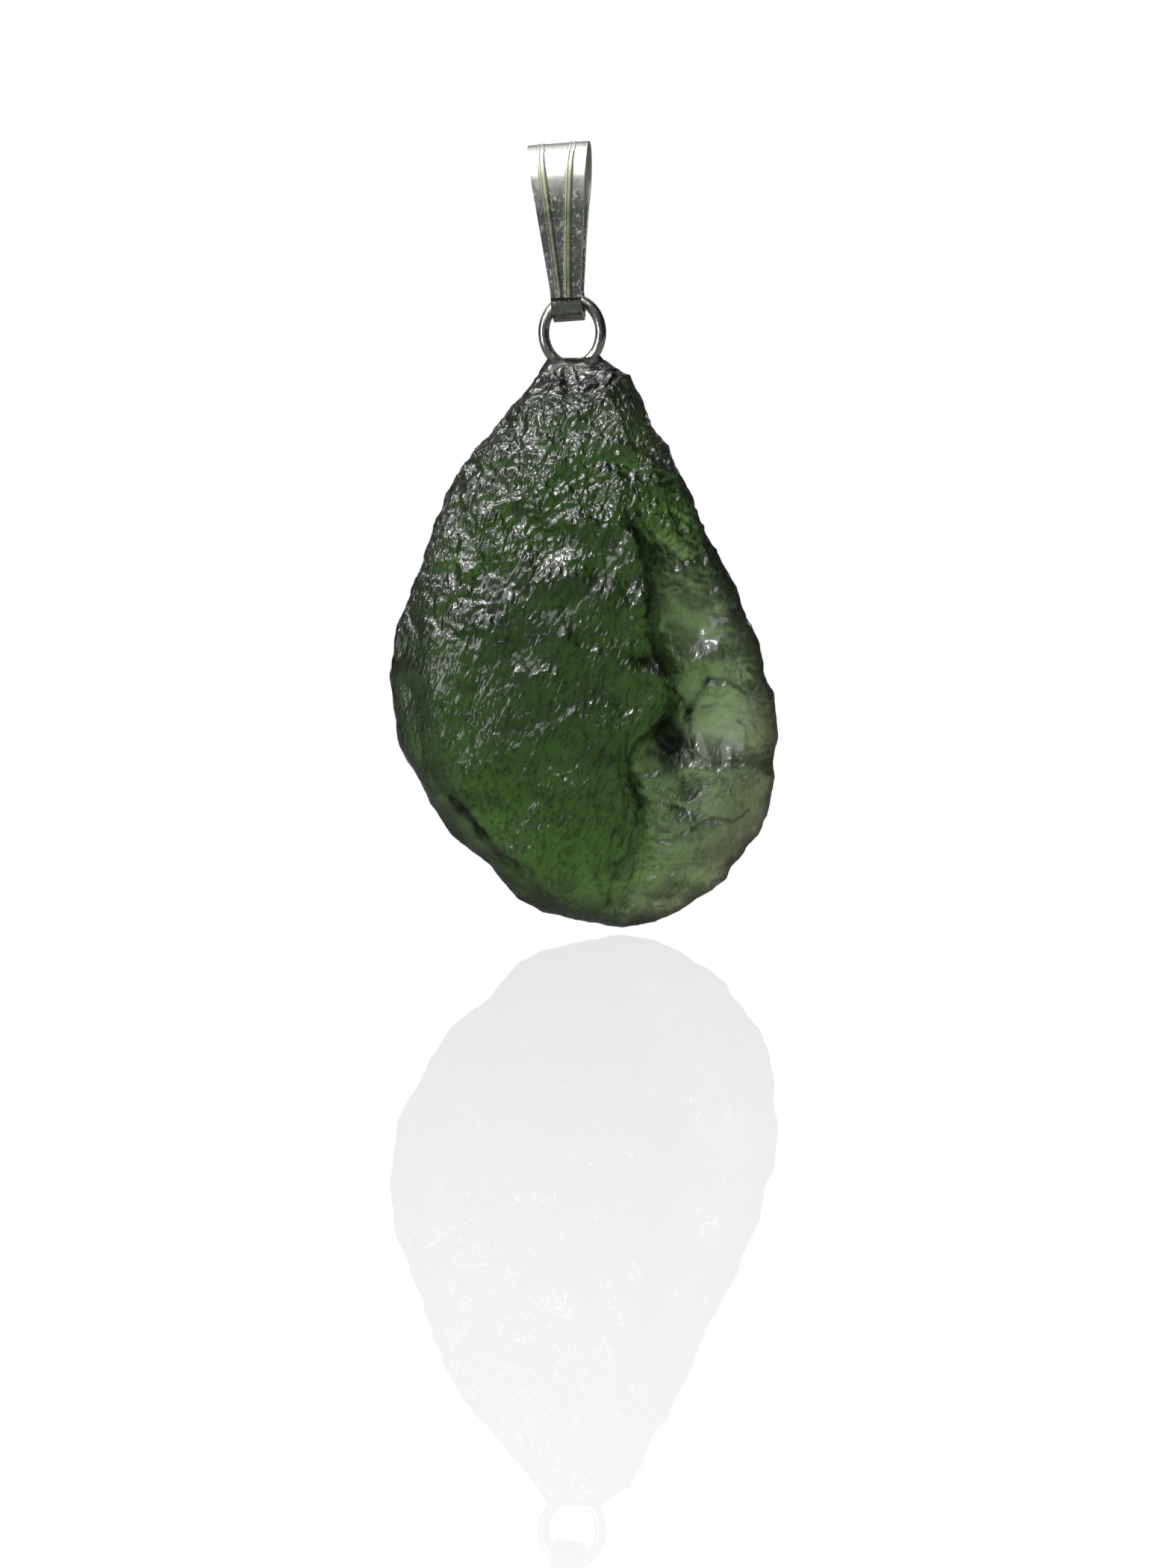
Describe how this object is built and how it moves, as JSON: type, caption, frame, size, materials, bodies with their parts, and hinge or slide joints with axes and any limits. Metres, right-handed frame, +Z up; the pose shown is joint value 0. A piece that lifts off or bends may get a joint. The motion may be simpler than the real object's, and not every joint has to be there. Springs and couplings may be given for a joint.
{
  "type": "raw moldavite pendant",
  "caption": "Flat pear-shaped natural glass stone with an etched surface, hung by a resin-set oval wire ring from a fluted, folded bail.",
  "frame": {"origin": "the chain seat: inside the bail's top fold, at its middle", "axes": "+Z up, against the pull of the weight; the front faces -Y; a chain runs through the bail roughly along X"},
  "size_m": [0.0232, 0.0079, 0.0463],
  "materials": {
    "moldavite": "natural etched glass, wet-looking",
    "resin": "clear brownish set resin",
    "silver": "worn polished silver"
  },
  "bodies": {
    "bail": {"bail": "silver"},
    "pendant": {"ring": "silver", "adhesive": "resin", "stone": "moldavite"}
  },
  "joints": [
    {"name": "ring_in_bail_eye", "type": "hinge", "parent": "bail", "child": "pendant", "pos_m": [0.00053, 0, -0.00921], "axis": [0.9886, -0.1392, 0.057], "range_deg": [-135, 135]}
  ]
}
